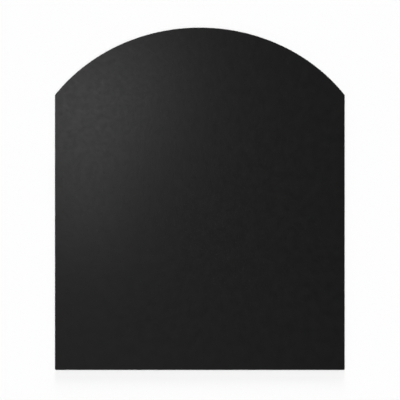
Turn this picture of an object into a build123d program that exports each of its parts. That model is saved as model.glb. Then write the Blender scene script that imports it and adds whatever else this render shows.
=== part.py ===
"""Floor plate for a free-standing stove: a sheet-steel plate on a rubber underlay.

The plate lies flat. +Z points up and out of the face that the stove stands on. The arched
edge faces the room, towards +Y, and the straight edge goes to the wall, towards -Y. The
origin is on the floor, under the middle of the plate's bounding box. Sizes are in millimetres.
"""

from build123d import *
from math import acos, atan2, degrees, sin
import os

# Steel sheet
plate_width = 1100.0
plate_depth = 1300.0
plate_thickness = 2.0
corner_radius = 5.0
rim_round = 0.4

# Arched edge: part of an ellipse, whose top is the middle of the edge
arch_rise = 256.0
arch_axis_ratio = 0.915

# Rubber that keeps the sheet off the floor: the strip and the feet are equally thick
underlay_thickness = 2.0

# Sealing strip, stuck on in four runs just inside the rim
seal_width = 9.0
seal_inset = 4.0
seal_joint_gap = 0.4

# Round feet, stuck on in a grid
foot_diameter = 25.0
foot_rim_round = 0.5
foot_margin = 80.0
foot_columns = 4
foot_rows = 4
arch_feet = 2

half_width = plate_width / 2
half_depth = plate_depth / 2
shoulder_y = half_depth - arch_rise
plate_bottom = underlay_thickness

# Half axes of the ellipse that passes through both shoulders and the top of the arch
arch_radius_y = ((arch_axis_ratio * half_width) ** 2 + arch_rise**2) / (2 * arch_rise)
arch_radius_x = arch_radius_y / arch_axis_ratio
arch_centre_y = half_depth - arch_radius_y


def arch_angle(x, inset):
    """Parameter, in radians, of the point at x on the arch drawn in by inset."""
    return acos(x / (arch_radius_x - inset))


def arch_y(x, inset):
    """Y of the arch drawn in by inset, at x."""
    return arch_centre_y + (arch_radius_y - inset) * sin(arch_angle(x, inset))


def corners(inset):
    """Corners of the outline drawn in by inset: front left, rear left, rear right, front right."""
    side = half_width - inset
    rear = inset - half_depth
    front = arch_y(side, inset)
    return [Vector(-side, front), Vector(-side, rear), Vector(side, rear), Vector(side, front)]


def outline(inset):
    """Face bounded by the plate's outline, drawn in by inset on every side."""
    start = degrees(arch_angle(half_width - inset, inset))
    arch = EllipticalCenterArc(
        (0, arch_centre_y),
        arch_radius_x - inset,
        arch_radius_y - inset,
        start_angle=start,
        arc_size=180 - 2 * start,
    )
    return make_face([arch, Polyline(*corners(inset))])


def spread(first, last, count):
    """Evenly spaced places from first to last, both of them included."""
    pitch = (last - first) / (count - 1)
    return [first + pitch * index for index in range(count)]


def make_floor_plate():
    """The steel sheet, with rounded corners and a rim that is rounded above and below."""
    sheet = Pos(0, 0, plate_bottom) * extrude(outline(0), plate_thickness)
    sheet = fillet(sheet.edges().filter_by(Axis.Z), corner_radius)
    faces = sheet.faces().sort_by(Axis.Z)
    return fillet(faces[0].edges() + faces[-1].edges(), rim_round)


def make_rim_seal():
    """The four runs of the sealing strip, by name, parted by a cut across each corner.

    The knife at a corner lies along the mitre and reaches past the strip at both ends.
    """
    outer, inner = seal_inset, seal_inset + seal_width
    ring = extrude(outline(outer) - outline(inner), underlay_thickness)
    for outside, inside in zip(corners(outer), corners(inner)):
        across = inside - outside
        middle = (inside + outside) * 0.5
        turn = degrees(atan2(across.Y, across.X))
        knife = Box(2 * across.length, seal_joint_gap, 3 * underlay_thickness)
        ring -= Pos(middle) * Rot(0, 0, turn) * knife
    runs = ring.solids()
    return {
        "rim_seal_rear": runs.sort_by(Axis.Y)[0],
        "rim_seal_front": runs.sort_by(Axis.Y)[-1],
        "rim_seal_left": runs.sort_by(Axis.X)[0],
        "rim_seal_right": runs.sort_by(Axis.X)[-1],
    }


def foot_places():
    """Names and centres of the feet: the grid up to the shoulders, then the row in the arch."""
    places = {}
    columns = spread(foot_margin - half_width, half_width - foot_margin, foot_columns)
    rows = spread(foot_margin - half_depth, shoulder_y, foot_rows)
    for row, y in enumerate(rows, start=1):
        for column, x in enumerate(columns, start=1):
            places[f"rubber_foot_row{row}_col{column}"] = (x, y)
    skipped = (foot_columns - arch_feet) // 2
    for column in range(skipped, skipped + arch_feet):
        x = columns[column]
        places[f"rubber_foot_arch_col{column + 1}"] = (x, arch_y(x, 0) - foot_margin)
    return places


def make_foot(x, y):
    """One round foot, with its lower rim rounded."""
    disc = Cylinder(
        foot_diameter / 2, underlay_thickness, align=(Align.CENTER, Align.CENTER, Align.MIN)
    )
    disc = fillet(disc.edges().sort_by(Axis.Z)[0], foot_rim_round)
    return Pos(x, y, 0) * disc


def main():
    """Builds every piece and writes each to its own STEP file."""
    nodes = {"floor_plate": make_floor_plate()}
    nodes.update(make_rim_seal())
    for name, (x, y) in foot_places().items():
        nodes[name] = make_foot(x, y)

    os.makedirs("parts", exist_ok=True)
    for name, shape in nodes.items():
        export_step(shape, f"parts/{name}.step")
        print(name, "volume", round(shape.volume), "mm3")


if __name__ == "__main__":
    main()
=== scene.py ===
"""Looks of a stove floor plate: a powder-coated steel sheet on a foam rim seal and rubber feet.

Lengths are in metres, in the part's own frame: +Z up, the arched edge towards +Y, the floor
at z = 0. The camera looks straight down on the plate, as the photograph does.
"""

import logging
import math
from dataclasses import dataclass
from enum import Enum
from typing import Mapping, NamedTuple, Sequence

import bpy
from mathutils import Matrix, Vector


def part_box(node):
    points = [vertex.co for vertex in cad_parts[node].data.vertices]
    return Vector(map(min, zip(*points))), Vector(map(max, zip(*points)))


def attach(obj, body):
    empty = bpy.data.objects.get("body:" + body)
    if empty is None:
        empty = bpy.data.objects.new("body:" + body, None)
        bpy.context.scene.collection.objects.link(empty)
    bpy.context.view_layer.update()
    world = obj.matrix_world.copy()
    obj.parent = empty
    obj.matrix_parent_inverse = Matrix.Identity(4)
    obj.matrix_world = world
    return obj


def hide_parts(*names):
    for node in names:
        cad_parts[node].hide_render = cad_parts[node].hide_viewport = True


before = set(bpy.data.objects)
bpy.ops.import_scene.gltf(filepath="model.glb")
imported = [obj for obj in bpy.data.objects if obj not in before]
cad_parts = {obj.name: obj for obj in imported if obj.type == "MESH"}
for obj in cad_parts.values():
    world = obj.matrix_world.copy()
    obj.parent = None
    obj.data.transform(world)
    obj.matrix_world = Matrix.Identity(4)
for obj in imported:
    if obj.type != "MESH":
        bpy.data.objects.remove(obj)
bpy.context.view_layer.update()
LOG = logging.getLogger("floor_plate")

# Names in the frame
BODY = "root"
SHEET_NODE = "floor_plate"
FOOT_NODES = "rubber_foot"

# Names of attributes: where the sheet's rim is, and where a strip's inner edge runs
RIM_ATTRIBUTE = "rim"
INNER_ATTRIBUTE = "inner"

# Sockets that share their name with others of the same node, so they go by number
MIX_FACTOR, MIX_FIRST, MIX_SECOND = 0, 2, 3
RANDOM_HIGHEST, RANDOM_NUMBER = 3, 1

# The layers of an uneven surface, and how much finer noise each of them carries
SURFACE_LAYERS = {"Pebble Size": 1.0, "Swell Size": 1.0, "Cloud Size": 4.0}

QUARTER_TURN = math.pi / 2
HALF_TURN = math.pi
FULL_TURN = 2 * math.pi
WHITE = (1.0, 1.0, 1.0, 1.0)

# Edges that bend by more than the crease stay sharp, points nearer than the weld become one,
# and a face lies level where its normal's Z is past the level normal
CREASE = math.radians(40)
WELD = 0.000001
LEVEL_NORMAL = 0.999999


class TreeKind(Enum):
    """The two kinds of node group that this script builds."""

    SHADER = "ShaderNodeTree"
    GEOMETRY = "GeometryNodeTree"


class SocketKind(Enum):
    """The kinds of socket that a named input or output can have."""

    FLOAT = "NodeSocketFloat"
    INTEGER = "NodeSocketInt"
    GEOMETRY = "NodeSocketGeometry"
    OBJECT = "NodeSocketObject"
    MATERIAL = "NodeSocketMaterial"


class Slot(Enum):
    """The record's material slots."""

    POWDER_COAT = "powder_coat"
    SEAL_RUBBER = "seal_rubber"
    FOOT_RUBBER = "foot_rubber"


class Port(NamedTuple):
    """A named socket of a node group."""

    name: str
    kind: SocketKind


class NodeGraph:
    """A node tree, with short calls that add its nodes and link them.

    In a group, source holds the group's own inputs to link from, and sink its outputs.
    """

    def __init__(self, tree: bpy.types.NodeTree) -> None:
        """Keeps the tree that the other methods add to.

        Args:
            tree: the node tree of a material, a world or a group.
        """
        self.tree = tree
        self.source: bpy.types.NodeOutputs | None = None
        self.sink: bpy.types.NodeInputs | None = None

    @classmethod
    def group(
        cls, name: str, kind: TreeKind, inputs: Sequence[Port], outputs: Sequence[Port]
    ) -> "NodeGraph":
        """Starts a node group with named sockets.

        Args:
            name: the group's name.
            kind: shader or geometry.
            inputs: its inputs, in order.
            outputs: its outputs, in order.

        Returns:
            The graph of the new group, with its two end nodes in place.
        """
        graph = cls(bpy.data.node_groups.new(name, kind.value))
        for side, ports in (("INPUT", inputs), ("OUTPUT", outputs)):
            for port in ports:
                graph.tree.interface.new_socket(
                    port.name, in_out=side, socket_type=port.kind.value
                )
        graph.source = graph.add("NodeGroupInput").outputs
        graph.sink = graph.add("NodeGroupOutput").inputs
        return graph

    def add(self, kind: str, inputs: Mapping | None = None, **settings: object) -> bpy.types.Node:
        """Adds one node.

        Args:
            kind: the node's type name.
            inputs: values or sockets, by the name or the number of the input.
            settings: the node's own settings, by name.

        Returns:
            The new node.
        """
        node = self.tree.nodes.new(kind)
        for name, value in settings.items():
            setattr(node, name, value)
        for key, value in (inputs or {}).items():
            if isinstance(value, bpy.types.NodeSocket):
                self.link(value, node.inputs[key])
            else:
                node.inputs[key].default_value = value
        return node

    def link(self, start: bpy.types.NodeSocket, end: bpy.types.NodeSocket) -> None:
        """Links two sockets."""
        self.tree.links.new(start, end)

    def math(self, operation: str, *values: object) -> bpy.types.NodeSocket:
        """Adds a Math node on the given values or sockets, and returns its result."""
        return self.add("ShaderNodeMath", dict(enumerate(values)), operation=operation).outputs[0]

    def mix(self, factor: object, first: object, second: object) -> bpy.types.NodeSocket:
        """Adds a Mix node on two numbers, and returns its result."""
        inputs = {MIX_FACTOR: factor, MIX_FIRST: first, MIX_SECOND: second}
        return self.add("ShaderNodeMix", inputs).outputs[0]

    def vector(self, x: object, y: object, z: object) -> bpy.types.NodeSocket:
        """Adds a Combine XYZ node, and returns its vector."""
        return self.add("ShaderNodeCombineXYZ", {"X": x, "Y": y, "Z": z}).outputs[0]

    def span(self, value: object, low: float, high: float) -> bpy.types.NodeSocket:
        """Adds a Map Range node that takes 0 to 1 onto low to high, and returns its result."""
        inputs = {"Value": value, "To Min": low, "To Max": high}
        return self.add("ShaderNodeMapRange", inputs).outputs[0]

    def reckon(self, operation: str, inputs: Mapping) -> bpy.types.NodeSocket:
        """Adds a Vector Math node on the given inputs, and returns its vector."""
        return self.add("ShaderNodeVectorMath", inputs, operation=operation).outputs[0]

    def place(self) -> bpy.types.NodeSocket:
        """Adds a Texture Coordinate node, and returns its Object coordinates."""
        return self.add("ShaderNodeTexCoord").outputs["Object"]

    def finish_with(self, geometry: bpy.types.NodeSocket) -> None:
        """Ends a geometry tree: real geometry, in the material of the input "Finish".

        Args:
            geometry: the socket of the finished geometry.
        """
        real = self.add("GeometryNodeRealizeInstances", {"Geometry": geometry}).outputs[0]
        inputs = {"Geometry": real, "Material": self.source["Finish"]}
        self.link(self.add("GeometryNodeSetMaterial", inputs).outputs[0], self.sink[0])


@dataclass(frozen=True)
class Outline:
    """The plate's outline: straight sides and rear edge, and an arch, part of an ellipse."""

    half_width: float
    half_depth: float
    arch_rise: float = 0.256
    arch_ratio: float = 0.915
    corner_radius: float = 0.005

    @property
    def radius_y(self) -> float:
        """The ellipse's half axis along Y."""
        chord = self.arch_ratio * self.half_width
        return (chord**2 + self.arch_rise**2) / (2 * self.arch_rise)

    @property
    def radius_x(self) -> float:
        """The ellipse's half axis along X."""
        return self.radius_y / self.arch_ratio

    def shoulder_angle(self, inset: float) -> float:
        """The ellipse's parameter at the right shoulder of the outline drawn in by inset."""
        return math.acos((self.half_width - inset) / (self.radius_x - inset))

    def arch_point(self, inset: float, angle: float) -> Vector:
        """Finds a point on the arch.

        Args:
            inset: how far the outline is drawn in.
            angle: the ellipse's parameter.

        Returns:
            The point.
        """
        across = (self.radius_x - inset) * math.cos(angle)
        forward = self.half_depth - self.radius_y + (self.radius_y - inset) * math.sin(angle)
        return Vector((across, forward, 0.0))

    def arch(self, inset: float, steps: int, start: float) -> list[Vector]:
        """Points along the arch, from right to left.

        Args:
            inset: how far the outline is drawn in.
            steps: the number of stretches.
            start: the ellipse's parameter at the right-hand end.

        Returns:
            One point more than there are steps.
        """
        sweep = HALF_TURN - 2 * start
        return [self.arch_point(inset, start + sweep * step / steps) for step in range(steps + 1)]

    def corners(self, inset: float) -> list[Vector]:
        """The sharp corners of the outline drawn in by inset.

        Args:
            inset: how far the outline is drawn in.

        Returns:
            Right shoulder, left shoulder, rear left and rear right corner.
        """
        right = self.arch_point(inset, self.shoulder_angle(inset))
        side, rear = right.x, inset - self.half_depth
        left = Vector((-side, right.y, 0.0))
        return [right, left, Vector((-side, rear, 0.0)), Vector((side, rear, 0.0))]

    def rounded(self, inset: float, arch_steps: int, corner_steps: int) -> list[Vector]:
        """The closed outline with its corners rounded, anticlockwise from the right shoulder.

        Args:
            inset: how far the outline is drawn in, less than the corners' radius.
            arch_steps: the number of stretches along the arch.
            corner_steps: the number of stretches round each corner.

        Returns:
            The outline's points, each of them once.
        """
        radius = self.corner_radius - inset
        shoulder = self.shoulder_angle(self.corner_radius)
        slope = math.atan2(
            self.radius_x * math.sin(shoulder), self.radius_y * math.cos(shoulder)
        )
        turns = [
            (0, slope),
            (HALF_TURN - slope, HALF_TURN),
            (HALF_TURN, 3 * QUARTER_TURN),
            (3 * QUARTER_TURN, FULL_TURN),
        ]
        arcs = []
        for centre, (first, last) in zip(self.corners(self.corner_radius), turns):
            arc = []
            for step in range(corner_steps + 1):
                angle = first + (last - first) * step / corner_steps
                arc.append(centre + radius * Vector((math.cos(angle), math.sin(angle), 0.0)))
            arcs.append(arc)
        arch = self.arch(inset, arch_steps, shoulder)[1:-1]
        return arcs[0] + arch + arcs[1] + arcs[2] + arcs[3]


def place_object(name: str, mesh: bpy.types.Mesh) -> bpy.types.Object:
    """Puts a mesh into the scene, at the origin.

    Args:
        name: the name of the new object and of its mesh.
        mesh: the mesh.

    Returns:
        The new object.
    """
    mesh.name = name
    thing = bpy.data.objects.new(name, mesh)
    bpy.context.scene.collection.objects.link(thing)
    return thing


def points_object(name: str, points: Sequence[Vector], closed: bool = False) -> bpy.types.Object:
    """Makes a scratch object of points for a Geometry Nodes tree to read.

    Args:
        name: its name.
        points: the points, in order.
        closed: whether edges join the points into a loop.

    Returns:
        The scratch object.
    """
    count = len(points)
    edges = [(index, (index + 1) % count) for index in range(count)] if closed else []
    mesh = bpy.data.meshes.new(name)
    mesh.from_pydata([tuple(point) for point in points], edges, [])
    return place_object(name, mesh)


def grow(
    seed: bpy.types.Object,
    graph: NodeGraph,
    finish: bpy.types.Material,
    values: Mapping[str, object],
) -> bpy.types.Mesh:
    """Runs a Geometry Nodes tree on a scratch object and keeps the result as a plain mesh.

    Args:
        seed: the scratch object, which is removed.
        graph: the tree, with an input for the finish.
        finish: the material of the whole result.
        values: the tree's other inputs, by name.

    Returns:
        The new mesh.
    """
    values = {**values, "Finish": finish}
    modifier = seed.modifiers.new(graph.tree.name, "NODES")
    modifier.node_group = graph.tree
    for item in graph.tree.interface.items_tree:
        if item.in_out == "INPUT" and item.name in values:
            modifier[item.identifier] = values[item.name]
    seed.update_tag()
    depsgraph = bpy.context.evaluated_depsgraph_get()
    mesh = bpy.data.meshes.new_from_object(
        seed.evaluated_get(depsgraph), preserve_all_data_layers=True, depsgraph=depsgraph
    )
    seed.modifiers.remove(modifier)
    bpy.data.objects.remove(seed)

    # The tree leaves an empty slot before its own material, so the finish is made the only one
    mesh.materials.clear()
    mesh.materials.append(finish)
    mesh.polygons.foreach_set("material_index", [0] * len(mesh.polygons))
    return mesh


def soften(mesh: bpy.types.Mesh) -> None:
    """Shades a mesh smooth, apart from the edges that bend by more than the crease."""
    mesh.shade_smooth()
    mesh.set_sharp_from_angle(angle=CREASE)


def hand_over(piece: bpy.types.Object, nodes: Sequence[str]) -> None:
    """Lets a finished piece stand for its CAD nodes, and reports it.

    Args:
        piece: the finished piece.
        nodes: the CAD nodes that it stands for.
    """
    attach(piece, BODY)
    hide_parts(*nodes)
    faces = len(piece.data.polygons)
    LOG.info("%s: %d faces, stands for %d CAD nodes", piece.name, faces, len(nodes))


def relief_group() -> NodeGraph:
    """Builds the shader group of an uneven surface, which every finish here shares.

    Returns:
        The group. Height is a pebble on a slower swell, and Cloud a soft mottle, both 0 to 1.
    """
    graph = NodeGraph.group(
        "uneven surface",
        TreeKind.SHADER,
        [Port(name, SocketKind.FLOAT) for name in (*SURFACE_LAYERS, "Swell Share")],
        [Port("Height", SocketKind.FLOAT), Port("Cloud", SocketKind.FLOAT)],
    )
    place = graph.place()
    layers = []
    for name, detail in SURFACE_LAYERS.items():
        scale = graph.math("DIVIDE", 1.0, graph.source[name])
        inputs = {"Vector": place, "Scale": scale, "Detail": detail}
        layers.append(graph.add("ShaderNodeTexNoise", inputs).outputs[0])
    pebble, swell, cloud = layers
    graph.link(graph.mix(graph.source["Swell Share"], pebble, swell), graph.sink["Height"])
    graph.link(cloud, graph.sink["Cloud"])
    return graph


class Begun(NamedTuple):
    """A material under way: its shader, and the height and the mottle of its surface."""

    material: bpy.types.Material
    graph: NodeGraph
    shader: bpy.types.Node
    height: bpy.types.NodeSocket
    cloud: bpy.types.NodeSocket


@dataclass(frozen=True)
class Finish:
    """What all the finishes here have: a dark grey, a gloss and an uneven surface.

    The shade and the roughness each vary by their spread to both sides, the shade's as a
    share of it. Relief is the height of the surface's highest points above its lowest, and
    swell_share how much of that is the slower swell. The rest is the pebble.
    """

    name: str
    shade: float
    shade_spread: float
    roughness: float
    roughness_spread: float
    specular: float
    relief: float
    pebble_size: float
    swell_size: float
    swell_share: float
    cloud_size: float

    def begin(self, group: NodeGraph) -> Begun:
        """Starts the material.

        Args:
            group: the shared group of the uneven surface.

        Returns:
            The material under way.
        """
        material = bpy.data.materials.new(self.name)
        material.use_nodes = True
        graph = NodeGraph(material.node_tree)
        graph.tree.nodes.clear()
        shader = graph.add("ShaderNodeBsdfPrincipled", {"Specular IOR Level": self.specular})
        graph.add("ShaderNodeOutputMaterial", {"Surface": shader.outputs[0]})
        surface = graph.add(
            "ShaderNodeGroup",
            {
                "Pebble Size": self.pebble_size,
                "Swell Size": self.swell_size,
                "Cloud Size": self.cloud_size,
                "Swell Share": self.swell_share,
            },
            node_tree=group.tree,
        ).outputs
        return Begun(material, graph, shader, surface["Height"], surface["Cloud"])

    def colour(self, begun: Begun, amount: bpy.types.NodeSocket) -> None:
        """Lets the grey follow an amount from 0 to 1, about the finish's own shade.

        Args:
            begun: the material under way.
            amount: the socket to follow.
        """
        low, high = self.shade * (1 - self.shade_spread), self.shade * (1 + self.shade_spread)
        level = begun.graph.span(amount, low, high)
        grey = begun.graph.add(
            "ShaderNodeCombineColor", {"Red": level, "Green": level, "Blue": level}
        )
        begun.graph.link(grey.outputs[0], begun.shader.inputs["Base Color"])

    def gloss(self, begun: Begun, amount: bpy.types.NodeSocket) -> bpy.types.NodeSocket:
        """Finds a roughness that follows an amount from 0 to 1, about the finish's own.

        Args:
            begun: the material under way.
            amount: the socket to follow.

        Returns:
            The roughness.
        """
        low, high = self.roughness - self.roughness_spread, self.roughness + self.roughness_spread
        return begun.graph.span(amount, low, high)

    def uneven(self, begun: Begun, height: bpy.types.NodeSocket) -> None:
        """Raises the surface by a height from 0 to 1, times the finish's relief.

        Args:
            begun: the material under way.
            height: the socket to follow.
        """
        bump = begun.graph.add("ShaderNodeBump", {"Distance": self.relief, "Height": height})
        begun.graph.link(bump.outputs[0], begun.shader.inputs["Normal"])


@dataclass(frozen=True)
class PowderCoat(Finish):
    """Matt black powder coat: pebbled, and duller where it swells.

    It is rubbed smoother in patches of rub_size along the rim, by up to rub_depth.
    """

    rub_size: float
    rub_depth: float

    def build(self, group: NodeGraph) -> bpy.types.Material:
        """Builds the material. An attribute of the sheet's faces says where its rim is.

        Args:
            group: the shared group of the uneven surface.

        Returns:
            The material.
        """
        begun = self.begin(group)
        graph = begun.graph
        self.colour(begun, begun.cloud)
        rim = graph.add("ShaderNodeAttribute", attribute_name=RIM_ATTRIBUTE).outputs["Fac"]
        inputs = {"Vector": graph.place(), "Scale": 1 / self.rub_size}
        patches = graph.add("ShaderNodeTexNoise", inputs).outputs[0]
        rubbed = graph.math("MULTIPLY", graph.math("MULTIPLY", rim, patches), self.rub_depth)
        gloss = graph.math("SUBTRACT", self.gloss(begun, begun.height), rubbed)
        graph.link(gloss, begun.shader.inputs["Roughness"])
        self.uneven(begun, begun.height)
        return begun.material


@dataclass(frozen=True)
class FoamRubber(Finish):
    """Cellular rubber: dull and dark, with its fine cells cut open.

    The cells have cell_share of the say in the colour and the height, and their hollows are
    painted darker, a painted shade. In units of cell_size, a cell is a hollow up to cell_floor
    from its middle, and past cell_wall it is wall.
    """

    cell_size: float
    cell_share: float
    cell_wall: float
    cell_floor: float

    def build(self, group: NodeGraph) -> bpy.types.Material:
        """Builds the material.

        Args:
            group: the shared group of the uneven surface.

        Returns:
            The material.
        """
        begun = self.begin(group)
        graph = begun.graph
        inputs = {"Vector": graph.place(), "Scale": 1 / self.cell_size}
        cells = graph.add("ShaderNodeTexVoronoi", inputs).outputs["Distance"]
        walls_and_hollow_shade = graph.add(
            "ShaderNodeMapRange",
            {"Value": cells, "From Min": self.cell_floor, "From Max": self.cell_wall},
            interpolation_type="SMOOTHSTEP",
        ).outputs[0]
        # Painted shade: the colour darkens into each cell's hollow, as the height sinks there
        self.colour(begun, graph.mix(self.cell_share, begun.cloud, walls_and_hollow_shade))
        graph.link(self.gloss(begun, begun.cloud), begun.shader.inputs["Roughness"])
        self.uneven(begun, graph.mix(self.cell_share, begun.height, walls_and_hollow_shade))
        return begun.material


@dataclass(frozen=True)
class MouldedRubber(Finish):
    """Solid moulded rubber: satin, with a faint grey bloom where it is duller."""

    def build(self, group: NodeGraph) -> bpy.types.Material:
        """Builds the material.

        Args:
            group: the shared group of the uneven surface.

        Returns:
            The material.
        """
        begun = self.begin(group)
        self.colour(begun, begun.cloud)
        begun.graph.link(self.gloss(begun, begun.cloud), begun.shader.inputs["Roughness"])
        self.uneven(begun, begun.height)
        return begun.material


@dataclass(frozen=True)
class SteelSheet:
    """The coated sheet: two flat faces, joined by a rim that is rounded above and below."""

    outline: Outline
    bottom: float
    top: float
    rim_round: float = 0.0004
    rim_steps: int = 4
    arch_steps: int = 160
    corner_steps: int = 8

    def rim_section(self, graph: NodeGraph) -> bpy.types.NodeSocket:
        """Adds the rim's section, across the sheet's edge from its top face to its bottom face.

        Args:
            graph: the tree, whose inputs give the sizes.

        Returns:
            A curve in the XY plane: X points out of the sheet, and Y points down.
        """
        steps, reach = graph.source["Rim Steps"], graph.source["Rim Round"]
        index = graph.add("GeometryNodeInputIndex").outputs[0]
        lower = graph.math("GREATER_THAN", index, steps)
        turned = graph.math("DIVIDE", graph.math("SUBTRACT", index, lower), steps)
        angle = graph.math("MULTIPLY", turned, QUARTER_TURN)
        outward = graph.math("MULTIPLY", graph.math("SINE", angle), reach)
        upward = graph.math("MULTIPLY", graph.math("COSINE", angle), reach)
        centre = graph.mix(
            lower,
            graph.math("SUBTRACT", graph.source["Top"], reach),
            graph.math("ADD", graph.source["Bottom"], reach),
        )
        downward = graph.math("MULTIPLY", graph.math("ADD", centre, upward), -1.0)
        place = graph.vector(outward, downward, 0.0)
        count = graph.math("MULTIPLY_ADD", steps, 2.0, 2.0)
        line = graph.add("GeometryNodeMeshLine", {"Count": count}).outputs[0]
        inputs = {"Geometry": line, "Position": place}
        section = graph.add("GeometryNodeSetPosition", inputs).outputs[0]
        return graph.add("GeometryNodeMeshToCurve", {"Mesh": section}).outputs[0]

    def tree(self) -> NodeGraph:
        """Builds the tree that runs the rim round the outline and closes it above and below.

        Returns:
            The geometry tree.
        """
        graph = NodeGraph.group(
            "sheet from its outline",
            TreeKind.GEOMETRY,
            [
                Port("Outline", SocketKind.GEOMETRY),
                Port("Bottom", SocketKind.FLOAT),
                Port("Top", SocketKind.FLOAT),
                Port("Rim Round", SocketKind.FLOAT),
                Port("Rim Steps", SocketKind.INTEGER),
                Port("Weld", SocketKind.FLOAT),
                Port("Finish", SocketKind.MATERIAL),
            ],
            [Port("Sheet", SocketKind.GEOMETRY)],
        )
        path = graph.add("GeometryNodeMeshToCurve", {"Mesh": graph.source["Outline"]}).outputs[0]
        level = graph.add("GeometryNodeSetCurveNormal", {"Curve": path}, mode="Z_UP").outputs[0]
        inputs = {"Curve": level, "Profile Curve": self.rim_section(graph)}
        swept = graph.add("GeometryNodeCurveToMesh", inputs).outputs[0]
        rim = graph.add(
            "GeometryNodeStoreNamedAttribute",
            {"Geometry": swept, "Name": RIM_ATTRIBUTE, "Value": 1.0},
            data_type="FLOAT",
            domain="FACE",
        ).outputs[0]
        face = graph.add("GeometryNodeFillCurve", {"Curve": path}, mode="NGONS").outputs[0]
        turned = graph.add("GeometryNodeFlipFaces", {"Mesh": face}).outputs[0]
        joined = graph.add("GeometryNodeJoinGeometry")
        graph.link(rim, joined.inputs[0])
        for flat, height in ((face, "Top"), (turned, "Bottom")):
            inputs = {"Geometry": flat, "Translation": graph.vector(0.0, 0.0, graph.source[height])}
            graph.link(graph.add("GeometryNodeTransform", inputs).outputs[0], joined.inputs[0])
        inputs = {"Geometry": joined.outputs[0], "Distance": graph.source["Weld"]}
        graph.finish_with(graph.add("GeometryNodeMergeByDistance", inputs).outputs[0])
        return graph

    def build(self, coat: bpy.types.Material) -> None:
        """Makes the sheet. Only its rim is shaded smooth, so its faces stay flat to their edges.

        Args:
            coat: its finish.
        """
        points = self.outline.rounded(self.rim_round, self.arch_steps, self.corner_steps)
        values = {
            "Bottom": self.bottom,
            "Top": self.top,
            "Rim Round": self.rim_round,
            "Rim Steps": self.rim_steps,
            "Weld": WELD,
        }
        mesh = grow(points_object("outline", points, closed=True), self.tree(), coat, values)
        for polygon in mesh.polygons:
            polygon.use_smooth = abs(polygon.normal.z) < LEVEL_NORMAL
        hand_over(place_object("coated_sheet", mesh), [SHEET_NODE])


class Run(NamedTuple):
    """One run of the sealing strip, by the lines of its outer and inner edge."""

    name: str
    outer: list[Vector]
    inner: list[Vector]


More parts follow.
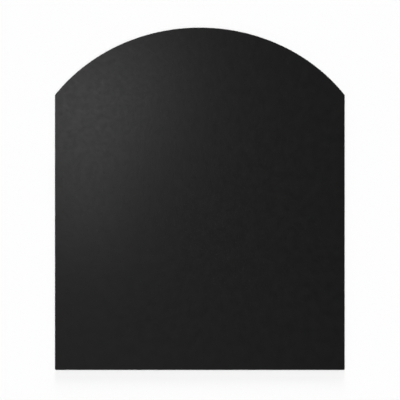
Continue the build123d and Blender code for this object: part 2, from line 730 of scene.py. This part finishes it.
@dataclass(frozen=True)
class RimSeal:
    """The sealing strip under the rim: four runs, cut across at the corners."""

    outline: Outline
    top: float
    inset: float = 0.004
    width: float = 0.009
    joint_gap: float = 0.0004
    edge_round: float = 0.0003
    bulge: float = 0.00012
    arch_steps: int = 160
    side_steps: int = 12
    points_across: int = 10
    points_up: int = 6

    def cut(self, run: Run) -> None:
        """Shortens a run at both ends, so that half a joint's gap is left before each mitre.

        Args:
            run: the run, whose end points move.
        """
        for end, neighbour in ((0, 1), (-1, -2)):
            mitre = (run.inner[end] - run.outer[end]).normalized()
            for rail in (run.outer, run.inner):
                along = (rail[neighbour] - rail[end]).normalized()
                rail[end] = rail[end] + along * (self.joint_gap / 2 / along.cross(mitre).length)

    def runs(self) -> list[Run]:
        """Lays the four runs out, anticlockwise.

        Returns:
            The runs.
        """
        rails = []
        for inset in (self.inset, self.inset + self.width):
            corners = self.outline.corners(inset)
            shoulder = self.outline.shoulder_angle(inset)
            lines = [self.outline.arch(inset, self.arch_steps, shoulder)]
            for start, end in zip(corners[1:], [*corners[2:], corners[0]]):
                shares = (step / self.side_steps for step in range(self.side_steps + 1))
                lines.append([start.lerp(end, share) for share in shares])
            rails.append(lines)
        runs = [Run(*parts) for parts in zip(("front", "left", "rear", "right"), *rails)]
        for run in runs:
            self.cut(run)
        return runs

    def section_place(
        self, graph: NodeGraph, across: bpy.types.NodeSocket, upward: bpy.types.NodeSocket
    ) -> tuple[bpy.types.NodeSocket, bpy.types.NodeSocket]:
        """Adds what turns a square section into the strip's: rounded edges and bulging sides.

        Args:
            graph: the tree, whose inputs give the sizes.
            across: how far across the square a point is, from 0 to 1.
            upward: how far up the square it is, from 0 to 1.

        Returns:
            How far across and how far up the strip the point goes, from 0 to 1.
        """
        # Crowd the points towards the strip's edges, then pull each edge in to a round one
        swing = graph.math("COSINE", graph.math("MULTIPLY", across, HALF_TURN))
        across = graph.math("MULTIPLY_ADD", swing, -0.5, 0.5)
        cores, pulls = [], []
        for share, size in ((across, graph.source["Width"]), (upward, graph.source["Thickness"])):
            edge = graph.math("DIVIDE", graph.source["Edge Round"], size)
            limits = {"Value": share, "Min": edge, "Max": graph.math("SUBTRACT", 1.0, edge)}
            core = graph.add("ShaderNodeClamp", limits).outputs[0]
            cores.append((core, edge))
            pulls.append(graph.math("DIVIDE", graph.math("SUBTRACT", share, core), edge))
        squares = [graph.math("MULTIPLY", pull, pull) for pull in pulls]
        reach = graph.math("MAXIMUM", graph.math("SQRT", graph.math("ADD", *squares)), 1.0)
        across, upward = (
            graph.math("MULTIPLY_ADD", graph.math("DIVIDE", pull, reach), edge, core)
            for pull, (core, edge) in zip(pulls, cores)
        )

        # The stove's weight squeezes the sides out: a parabola, whose top is at half height
        middle = graph.math("SUBTRACT", upward, 0.5)
        squeeze = graph.math("MULTIPLY_ADD", graph.math("MULTIPLY", middle, middle), -4.0, 1.0)
        offset = graph.math("MULTIPLY", graph.math("SUBTRACT", across, 0.5), 2.0)
        bulge = graph.math("MULTIPLY", squeeze, graph.source["Bulge"])
        push = graph.math("DIVIDE", bulge, graph.source["Width"])
        return graph.math("MULTIPLY_ADD", offset, push, across), upward

    def tree(self) -> NodeGraph:
        """Builds the tree that fills the space between two edges with a strip of foam.

        Returns:
            The geometry tree. It runs on the outer edge's points, whose attribute holds the
            inner edge.
        """
        graph = NodeGraph.group(
            "strip between two edges",
            TreeKind.GEOMETRY,
            [
                Port("Outer Edge", SocketKind.GEOMETRY),
                Port("Thickness", SocketKind.FLOAT),
                Port("Width", SocketKind.FLOAT),
                Port("Edge Round", SocketKind.FLOAT),
                Port("Bulge", SocketKind.FLOAT),
                Port("Points Across", SocketKind.INTEGER),
                Port("Points Up", SocketKind.INTEGER),
                Port("Finish", SocketKind.MATERIAL),
            ],
            [Port("Strip", SocketKind.GEOMETRY)],
        )
        source = graph.source
        edge = source["Outer Edge"]
        count = graph.add("GeometryNodeAttributeDomainSize", {"Geometry": edge}).outputs[0]
        block = graph.add(
            "GeometryNodeMeshCube",
            {
                "Vertices X": count,
                "Vertices Y": source["Points Across"],
                "Vertices Z": source["Points Up"],
            },
        ).outputs[0]
        position = graph.add("GeometryNodeInputPosition").outputs[0]
        axes = graph.add("ShaderNodeSeparateXYZ", {0: position}).outputs
        along, across, upward = (graph.math("ADD", axis, 0.5) for axis in axes)
        across, upward = self.section_place(graph, across, upward)

        # Each slice of the block goes to its own point of the two edges
        last = graph.math("SUBTRACT", count, 1.0)
        station = graph.math("ROUND", graph.math("MULTIPLY", along, last))
        inner_edge = graph.add(
            "GeometryNodeInputNamedAttribute", {"Name": INNER_ATTRIBUTE}, data_type="FLOAT_VECTOR"
        ).outputs[0]
        outer, inner = (
            graph.add(
                "GeometryNodeSampleIndex",
                {"Geometry": edge, "Value": value, "Index": station},
                data_type="FLOAT_VECTOR",
                domain="POINT",
            ).outputs[0]
            for value in (position, inner_edge)
        )
        gap = graph.reckon("SUBTRACT", {0: inner, 1: outer})
        flat = graph.reckon("ADD", {0: graph.reckon("SCALE", {0: gap, "Scale": across}), 1: outer})
        lift = graph.vector(0.0, 0.0, graph.math("MULTIPLY", upward, source["Thickness"]))
        inputs = {"Geometry": block, "Position": graph.reckon("ADD", {0: flat, 1: lift})}
        graph.finish_with(graph.add("GeometryNodeSetPosition", inputs).outputs[0])
        return graph

    def build(self, foam: bpy.types.Material) -> None:
        """Makes the four runs.

        Args:
            foam: their finish.
        """
        graph = self.tree()
        values = {
            "Thickness": self.top,
            "Width": self.width,
            "Edge Round": self.edge_round,
            "Bulge": self.bulge,
            "Points Across": self.points_across,
            "Points Up": self.points_up,
        }
        for run in self.runs():
            seed = points_object("outer_edge", run.outer)
            inner = seed.data.attributes.new(INNER_ATTRIBUTE, "FLOAT_VECTOR", "POINT")
            inner.data.foreach_set("vector", [number for point in run.inner for number in point])
            mesh = grow(seed, graph, foam, values)
            soften(mesh)
            strip = place_object(f"foam_strip_{run.name}", mesh)
            hand_over(strip, [f"rim_seal_{run.name}"])


@dataclass(frozen=True)
class RubberFeet:
    """The round feet under the sheet, all of one kind.

    Each has a ring groove and a dimple in its underside, both groove_depth deep. The dimple
    has dimple_fill of that depth left halfway out.
    """

    places: dict[str, Vector]
    top: float
    radius: float = 0.0125
    rim_round: float = 0.0005
    draft: float = 0.00015
    groove_radius: float = 0.0075
    groove_width: float = 0.0012
    groove_depth: float = 0.0003
    dimple_radius: float = 0.0016
    dimple_fill: float = 0.8
    turn_steps: int = 48
    round_steps: int = 4
    seed: int = 7

    def section(self) -> list[Vector]:
        """Draws half of a foot's section, from the middle of its underside round to its top's.

        Returns:
            Points in the XZ plane.
        """
        depth, slant = self.groove_depth, self.groove_width / 4
        inner = self.groove_radius - self.groove_width / 2
        outer = self.groove_radius + self.groove_width / 2
        line = [
            (0.0, depth),
            (self.dimple_radius / 2, self.dimple_fill * depth),
            (self.dimple_radius, 0.0),
            (inner, 0.0),
            (inner + slant, depth),
            (outer - slant, depth),
            (outer, 0.0),
        ]
        for step in range(self.round_steps + 1):
            angle = QUARTER_TURN * step / self.round_steps
            out = self.radius - self.rim_round * (1 - math.sin(angle))
            line.append((out, self.rim_round * (1 - math.cos(angle))))
        line += [(self.radius - self.draft, self.top), (0.0, self.top)]
        return [Vector((out, 0.0, up)) for out, up in line]

    def turned(self) -> bpy.types.Object:
        """Turns one foot about the upright axis.

        The section's first and last point lie on the axis and stay single. Each of the others
        becomes a ring, and the faces between the rings point outwards.

        Returns:
            A scratch object with the foot, standing at the origin.
        """
        bottom, *rail, top = self.section()
        steps = self.turn_steps
        angles = [FULL_TURN * step / steps for step in range(steps)]
        points = [bottom, top]
        for point in rail:
            points += [
                Vector((point.x * math.cos(angle), point.x * math.sin(angle), point.z))
                for angle in angles
            ]
        rings = range(2, len(points), steps)
        faces = []
        for step in range(steps):
            after = (step + 1) % steps
            faces.append((0, rings[0] + after, rings[0] + step))
            for ring, upper in zip(rings, rings[1:]):
                faces.append((ring + step, ring + after, upper + after, upper + step))
            faces.append((1, rings[-1] + step, rings[-1] + after))
        mesh = bpy.data.meshes.new("foot")
        mesh.from_pydata([tuple(point) for point in points], [], faces)
        return place_object("foot", mesh)

    def tree(self) -> NodeGraph:
        """Builds the tree that puts a foot on each point, turned at random about its axis.

        Returns:
            The geometry tree.
        """
        graph = NodeGraph.group(
            "feet on their places",
            TreeKind.GEOMETRY,
            [
                Port("Places", SocketKind.GEOMETRY),
                Port("Foot", SocketKind.OBJECT),
                Port("Seed", SocketKind.INTEGER),
                Port("Finish", SocketKind.MATERIAL),
            ],
            [Port("Feet", SocketKind.GEOMETRY)],
        )
        source = graph.source
        foot = graph.add("GeometryNodeObjectInfo", {"Object": source["Foot"]}).outputs["Geometry"]
        inputs = {"Seed": source["Seed"], RANDOM_HIGHEST: FULL_TURN}
        turn = graph.add("FunctionNodeRandomValue", inputs, data_type="FLOAT")
        inputs = {
            "Points": source["Places"],
            "Instance": foot,
            "Rotation": graph.vector(0.0, 0.0, turn.outputs[RANDOM_NUMBER]),
        }
        graph.finish_with(graph.add("GeometryNodeInstanceOnPoints", inputs).outputs[0])
        return graph

    def build(self, rubber: bpy.types.Material) -> None:
        """Makes all the feet, as one piece.

        Args:
            rubber: their finish.
        """
        foot = self.turned()
        seed = points_object("places", list(self.places.values()))
        mesh = grow(seed, self.tree(), rubber, {"Foot": foot, "Seed": self.seed})
        bpy.data.objects.remove(foot)
        soften(mesh)
        hand_over(place_object("rubber_feet", mesh), list(self.places))


@dataclass(frozen=True)
class Softbox:
    """A soft lamp on the upper left, seen only as its sheen on the plate."""

    name: str
    centre: tuple[float, float, float]
    width: float
    height: float
    watts: float

    def build(self) -> None:
        """Puts the lamp in the scene, aimed at the middle of the plate, with its height along Y."""
        lamp = bpy.data.lights.new(self.name, "AREA")
        lamp.shape = "RECTANGLE"
        lamp.size, lamp.size_y, lamp.energy = self.width, self.height, self.watts
        thing = bpy.data.objects.new(self.name, lamp)
        bpy.context.scene.collection.objects.link(thing)
        aim = -Vector(self.centre).normalized()
        side = aim.cross(Vector((0, 1, 0))).normalized()
        turn = Matrix((side, side.cross(aim), -aim)).transposed().to_4x4()
        thing.matrix_world = Matrix.Translation(self.centre) @ turn
        thing.visible_diffuse = False
        thing.visible_camera = False


@dataclass(frozen=True)
class FarLamp:
    """A far lamp, which lights the floor and never shows in the gloss.

    It stands at its elevation on the arch's side and is as wide as its spread, in degrees.
    """

    name: str
    strength: float
    elevation: float
    spread: float

    def build(self) -> None:
        """Puts the lamp in the scene. Unturned, it would shine straight down."""
        lamp = bpy.data.lights.new(self.name, "SUN")
        lamp.energy, lamp.angle = self.strength, math.radians(self.spread)
        thing = bpy.data.objects.new(self.name, lamp)
        bpy.context.scene.collection.objects.link(thing)
        thing.rotation_euler = (math.radians(self.elevation) - QUARTER_TURN, 0.0, 0.0)
        thing.visible_glossy = False


@dataclass(frozen=True)
class Surround:
    """The pale room, with a brightness of its own for each kind of ray.

    The camera sees the backdrop, and matt surfaces get the fill. Reflections get the
    overhead level, plus what it gains towards the left, by left_gain for each unit across
    up to reach, and towards the horizon, where a higher power keeps it lower down.
    """

    backdrop: float = 0.99
    fill: float = 0.35
    overhead: float = 0.15
    left_gain: float = 0.815
    reach: float = 0.18
    horizon: float = 0.25
    horizon_power: float = 3.0

    def build(self) -> None:
        """Makes the world that surrounds the scene."""
        world = bpy.data.worlds.new("surround")
        bpy.context.scene.world = world
        world.use_nodes = True
        world.cycles.sampling_method = "NONE"
        graph = NodeGraph(world.node_tree)
        graph.tree.nodes.clear()
        path = graph.add("ShaderNodeLightPath").outputs
        direction = graph.add("ShaderNodeTexCoord").outputs["Generated"]
        across, _, upward = graph.add("ShaderNodeSeparateXYZ", {0: direction}).outputs
        limits = {"Value": across, "Min": -self.reach, "Max": self.reach}
        aside = graph.add("ShaderNodeClamp", limits).outputs[0]
        above = graph.math("MULTIPLY_ADD", aside, -self.left_gain, self.overhead)
        level_out = graph.math("SUBTRACT", 1.0, graph.math("MAXIMUM", upward, 0.0))
        low = graph.math("POWER", level_out, self.horizon_power)
        mirrored = graph.math("MULTIPLY_ADD", low, self.horizon, above)
        scattered = graph.mix(path["Is Diffuse Ray"], mirrored, self.fill)
        strength = graph.mix(path["Is Camera Ray"], scattered, self.backdrop)
        light = graph.add("ShaderNodeBackground", {"Strength": strength, "Color": WHITE})
        graph.add("ShaderNodeOutputWorld", {"Surface": light.outputs[0]})


@dataclass(frozen=True)
class PaleFloor:
    """The plain pale floor that the plate lies on."""

    half_size: float = 12.0
    drop: float = 0.0001
    shade: float = 0.9

    def build(self) -> None:
        """Makes the floor, which is not attached to the plate's body."""
        half = self.half_size
        around = ((-half, -half), (half, -half), (half, half), (-half, half))
        mesh = bpy.data.meshes.new("floor")
        mesh.from_pydata([(x, y, -self.drop) for x, y in around], [], [(0, 1, 2, 3)])
        material = bpy.data.materials.new("pale floor")
        material.use_nodes = True
        graph = NodeGraph(material.node_tree)
        graph.tree.nodes.clear()
        colour = (self.shade, self.shade, self.shade, 1.0)
        paint = graph.add("ShaderNodeBsdfDiffuse", {"Color": colour})
        graph.add("ShaderNodeOutputMaterial", {"Surface": paint.outputs[0]})
        mesh.materials.append(material)
        place_object("floor", mesh)


@dataclass(frozen=True)
class Viewpoint:
    """The photograph's camera: straight above the plate, with the arch at the picture's top."""

    place: tuple[float, float, float] = (0.0007, -0.0046, 3.5893)
    lens: float = 85.0
    sensor: float = 36.0

    def build(self) -> None:
        """Makes the camera. Unturned, it looks straight down."""
        camera = bpy.data.cameras.new("viewpoint")
        camera.lens, camera.sensor_width = self.lens, self.sensor
        thing = bpy.data.objects.new("viewpoint", camera)
        thing.location = self.place
        bpy.context.scene.collection.objects.link(thing)
        bpy.context.scene.camera = thing
        bpy.context.scene.view_settings.view_transform = "Standard"


COAT = PowderCoat(
    name="matt black powder coat",
    shade=0.0071,
    shade_spread=0.33,
    roughness=0.341,
    roughness_spread=0.092,
    specular=0.5,
    relief=0.00025,
    pebble_size=0.001,
    swell_size=0.018,
    swell_share=0.7,
    cloud_size=0.035,
    rub_size=0.015,
    rub_depth=0.12,
)
FOAM = FoamRubber(
    name="cellular rubber",
    shade=0.022,
    shade_spread=0.45,
    roughness=0.88,
    roughness_spread=0.06,
    specular=0.3,
    relief=0.00025,
    pebble_size=0.0005,
    swell_size=0.004,
    swell_share=0.4,
    cloud_size=0.01,
    cell_size=0.0008,
    cell_share=0.7,
    cell_wall=0.5,
    cell_floor=0.15,
)
RUBBER = MouldedRubber(
    name="moulded rubber",
    shade=0.018,
    shade_spread=0.35,
    roughness=0.6,
    roughness_spread=0.1,
    specular=0.4,
    relief=0.00003,
    pebble_size=0.0004,
    swell_size=0.003,
    swell_share=0.3,
    cloud_size=0.006,
)

# The lamps, placed so that the sheen and the shadow fall as in the photograph
LAMPS = (
    Softbox("wide_softbox", centre=(-0.692, 0.666, 1.718), width=1.016, height=0.742, watts=2.31),
    Softbox("strip_softbox", centre=(-0.674, 0.225, 1.658), width=0.246, height=0.936, watts=1.236),
    FarLamp("top_lamp", strength=2.08, elevation=90.0, spread=10.0),
    FarLamp("skimming_lamp", strength=4.0, elevation=3.9, spread=5.2),
)


def foot_centres() -> dict[str, Vector]:
    """Reads the feet's places from the frame.

    Returns:
        The middle of each CAD foot, at floor level, by the foot's name.
    """
    places = {}
    for name in sorted(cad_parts):
        if name.startswith(FOOT_NODES):
            low, high = (Vector(corner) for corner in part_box(name))
            places[name] = Vector(((low.x + high.x) / 2, (low.y + high.y) / 2, 0.0))
    return places


def main() -> None:
    """Builds the plate from the top down, then the studio round it."""
    logging.basicConfig(level=logging.INFO, format="%(message)s")
    low, high = (Vector(corner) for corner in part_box(SHEET_NODE))
    outline = Outline(half_width=(high.x - low.x) / 2, half_depth=-low.y)
    group = relief_group()
    SteelSheet(outline, bottom=low.z, top=high.z).build(COAT.build(group))
    RimSeal(outline, top=low.z).build(FOAM.build(group))
    RubberFeet(foot_centres(), top=low.z).build(RUBBER.build(group))
    for item in (PaleFloor(), Surround(), *LAMPS, Viewpoint()):
        item.build()
        LOG.info("%s: in place", type(item).__name__)


if __name__ == "__main__":
    main()
